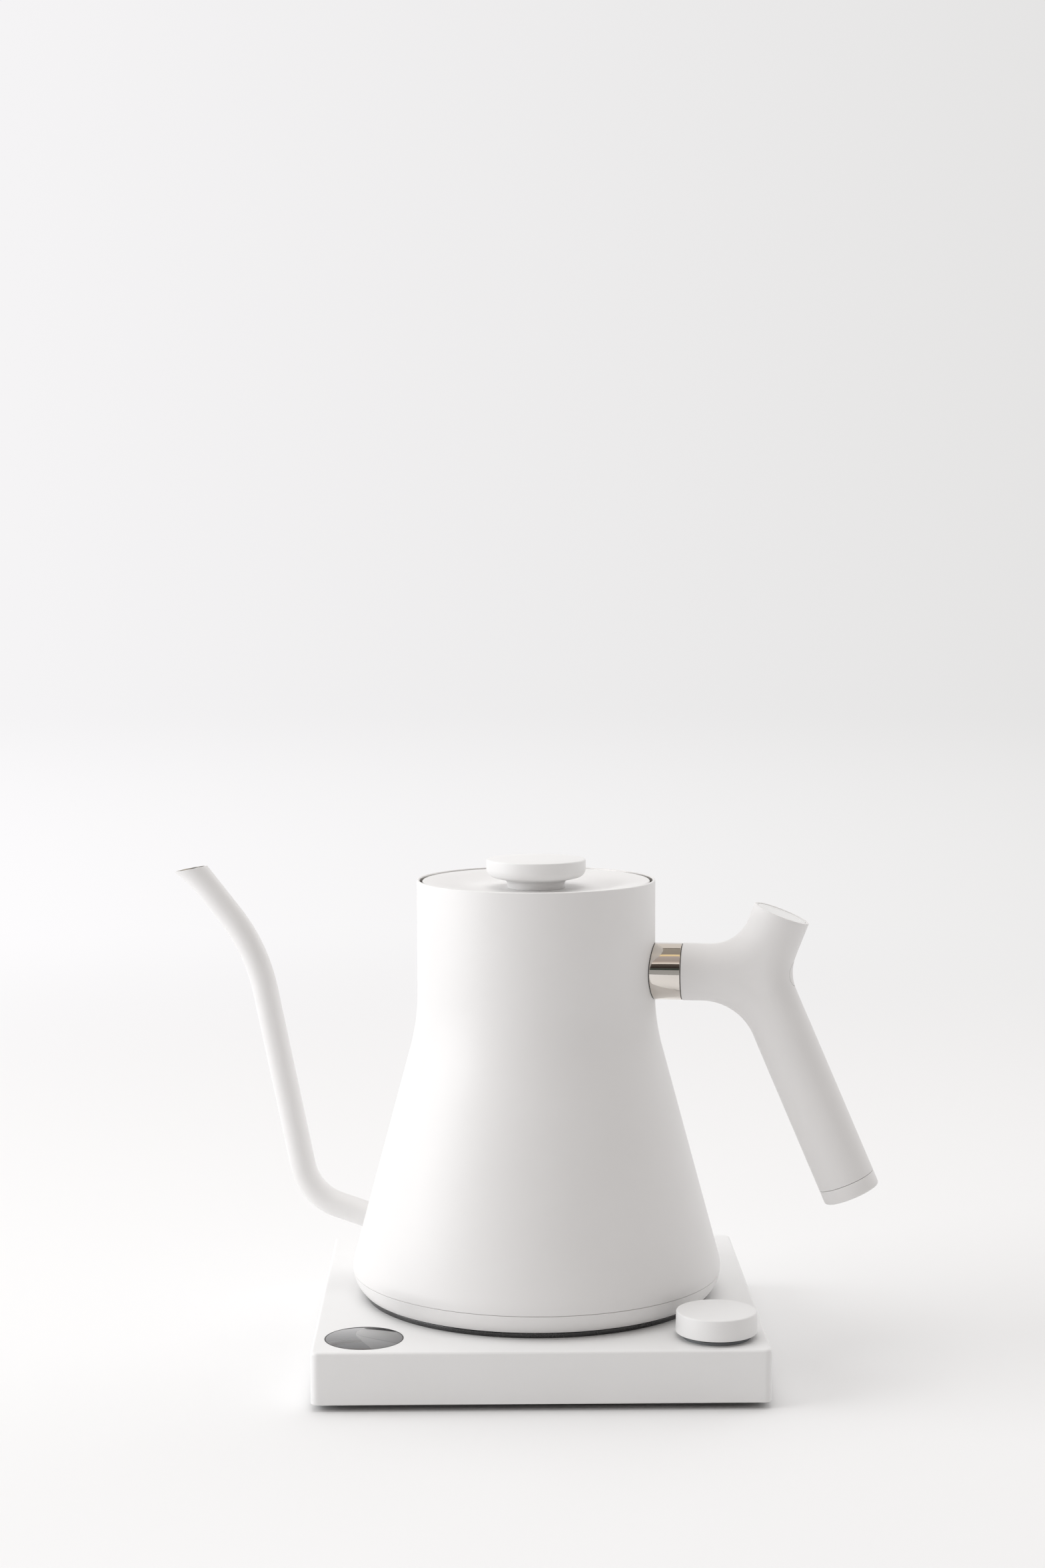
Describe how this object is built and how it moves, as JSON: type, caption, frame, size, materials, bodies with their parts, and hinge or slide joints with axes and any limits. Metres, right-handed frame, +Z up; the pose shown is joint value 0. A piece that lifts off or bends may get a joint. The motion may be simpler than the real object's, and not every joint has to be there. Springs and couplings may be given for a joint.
{
  "type": "gooseneck kettle",
  "caption": "Electric pour-over kettle with a slender S-shaped spout and a forked tubular handle, standing on a square heating base with a round dial and a round display.",
  "frame": {"origin": "on the resting surface, under the middle of the square base", "axes": "+Z up, +X towards the handle's side and the dial, -Y towards the front edge with the dial and the display"},
  "size_m": [0.2811, 0.1726, 0.1974],
  "materials": {
    "white_casing": "fine satin texture",
    "black_plastic": "satin",
    "foot_rubber": "matt",
    "plain_steel": "plain",
    "black_gloss": "polished",
    "contact_brass": "plain",
    "dark_glass": "smoked, polished",
    "grey_plastic": "satin",
    "circuit_board": "lacquered",
    "component_plastic": "mixed parts",
    "black_rubber": "matt",
    "white_plastic": "smooth satin",
    "white_enamel": "fine satin powder coat",
    "white_handle": "fine soft-touch satin",
    "brushed_steel": "brushed",
    "polished_steel": "polished",
    "dark_spring_steel": "dull dark",
    "aluminium": "plain",
    "lead_insulation": "glass-braid sleeve",
    "silicone_seal": "matt"
  },
  "bodies": {
    "base": {"base_housing": "white_casing", "base_bottom_plate": "black_plastic", "foot_pad": "foot_rubber", "base_screws": "plain_steel", "seat_disc": "black_gloss", "base_socket": "black_plastic", "socket_contacts": "contact_brass", "display_window": "dark_glass", "display_bezel": "black_plastic", "display_module": "grey_plastic", "control_board": "circuit_board", "power_board": "circuit_board", "power_components": "component_plastic", "rear_board": "circuit_board", "encoder_body": "plain_steel", "encoder_nut": "plain_steel", "dial_collar": "black_plastic", "cord_grommet": "black_rubber", "cord_clamp": "black_plastic"},
    "hold_slider": {"hold_switch": "white_plastic"},
    "units_key": {"units_button": "white_plastic"},
    "dial_plunger": {"encoder_shaft": "plain_steel"},
    "dial": {"dial_knob": "white_plastic", "dial_insert": "black_plastic"},
    "coupler": {"kettle_coupler": "black_plastic", "coupler_contacts": "contact_brass"},
    "kettle": {"kettle_shell": "white_enamel", "kettle_floor": "brushed_steel", "heat_spreader": "aluminium", "heating_element": "plain_steel", "element_leads": "lead_insulation", "thermostat": "component_plastic", "temperature_probe": "brushed_steel", "probe_seal": "silicone_seal", "floor_studs": "plain_steel", "bottom_cap": "white_enamel", "cap_screws": "plain_steel", "spout_tube": "white_enamel", "handle_ferrule": "polished_steel", "handle_stud": "plain_steel", "handle_body": "white_handle", "handle_bolt": "plain_steel", "handle_top_disc": "white_handle", "handle_end_cap": "white_handle", "counterweight": "plain_steel", "end_cap_screw": "plain_steel"},
    "lid": {"lid_disc": "white_enamel", "lid_underplate": "brushed_steel", "lid_seal": "dark_spring_steel", "lid_knob": "white_plastic", "lid_screw": "plain_steel"}
  },
  "joints": [
    {"name": "hold_slide", "type": "slide", "parent": "base", "child": "hold_slider", "axis": [1, 0, 0], "range_m": [-0.0018, 0.0018]},
    {"name": "units_press", "type": "slide", "parent": "base", "child": "units_key", "axis": [0, -1, 0], "range_m": [0, 0.0005], "stiffness_N_per_m": 800, "springref_m": -0.0006},
    {"name": "dial_press", "type": "slide", "parent": "base", "child": "dial_plunger", "axis": [0, 0, -1], "range_m": [0, 0.0005], "stiffness_N_per_m": 1500, "springref_m": -0.0006},
    {"name": "dial_turn", "type": "hinge", "parent": "dial_plunger", "child": "dial", "pos_m": [0.0665, -0.067, 0.0284], "axis": [0, 0, 1], "continuous": true},
    {"name": "kettle_lift", "type": "slide", "parent": "base", "child": "coupler", "axis": [0, 0, 1], "range_m": [0, 0.06]},
    {"name": "kettle_turn", "type": "hinge", "parent": "coupler", "child": "kettle", "pos_m": [0, 0, 0.03], "axis": [0, 0, 1], "continuous": true},
    {"name": "lid_lift", "type": "slide", "parent": "kettle", "child": "lid", "axis": [0, 0, 1], "range_m": [0, 0.045]}
  ]
}
